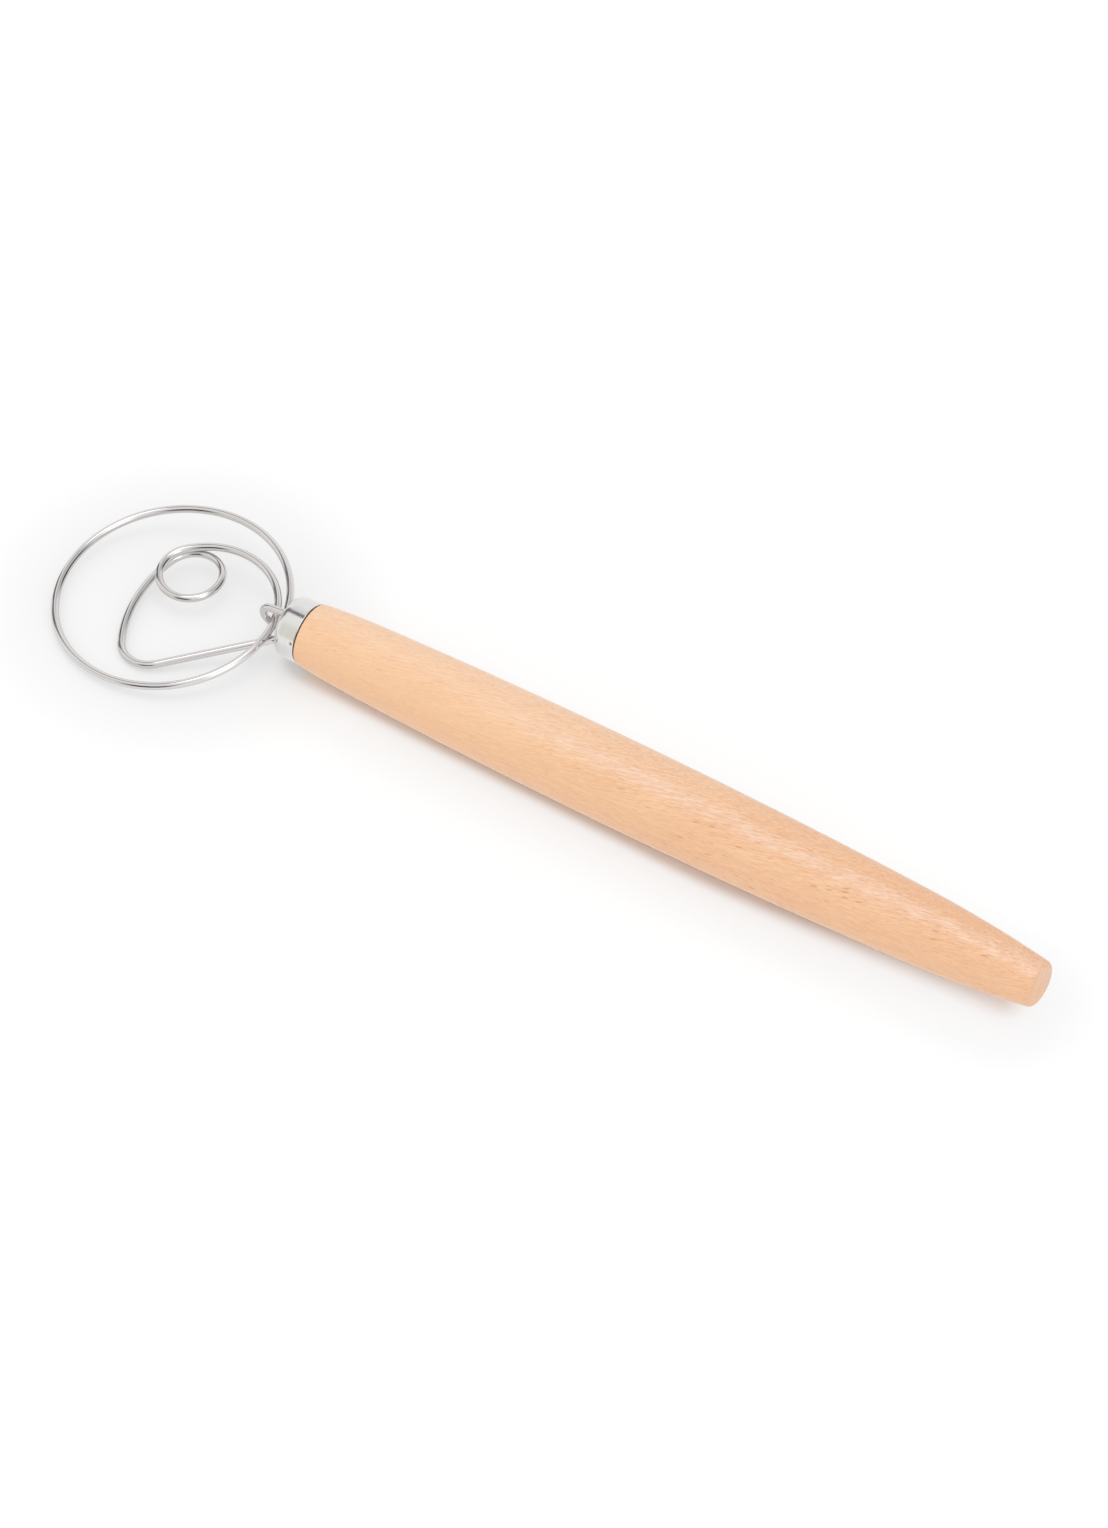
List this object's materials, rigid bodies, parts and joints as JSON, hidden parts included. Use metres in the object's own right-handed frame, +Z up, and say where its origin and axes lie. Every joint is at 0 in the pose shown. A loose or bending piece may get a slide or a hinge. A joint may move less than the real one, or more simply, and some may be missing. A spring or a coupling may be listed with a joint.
{
  "type": "dough whisk",
  "caption": "Dough whisk: a turned wooden handle with a steel ferrule and a flat head of one bent wire, with a big loop, an inner loop and a small ring.",
  "frame": {"origin": "on the table, under the middle of the whisk's box as it lies", "axes": "+X runs from the wire head to the butt of the handle, +Z is up, and the whisk lies on the handle's belly and the near side of the big loop"},
  "size_m": [0.341, 0.0728, 0.0266],
  "materials": {
    "beech": "fine-sanded pale beech, thinly oiled, satin",
    "drawn_steel": "polished stainless steel sheet",
    "steel_wire": "polished stainless steel wire"
  },
  "bodies": {
    "root": {"handle": "beech", "ferrule": "drawn_steel", "whisk_wire": "steel_wire", "neck_hook": "steel_wire"}
  },
  "joints": []
}
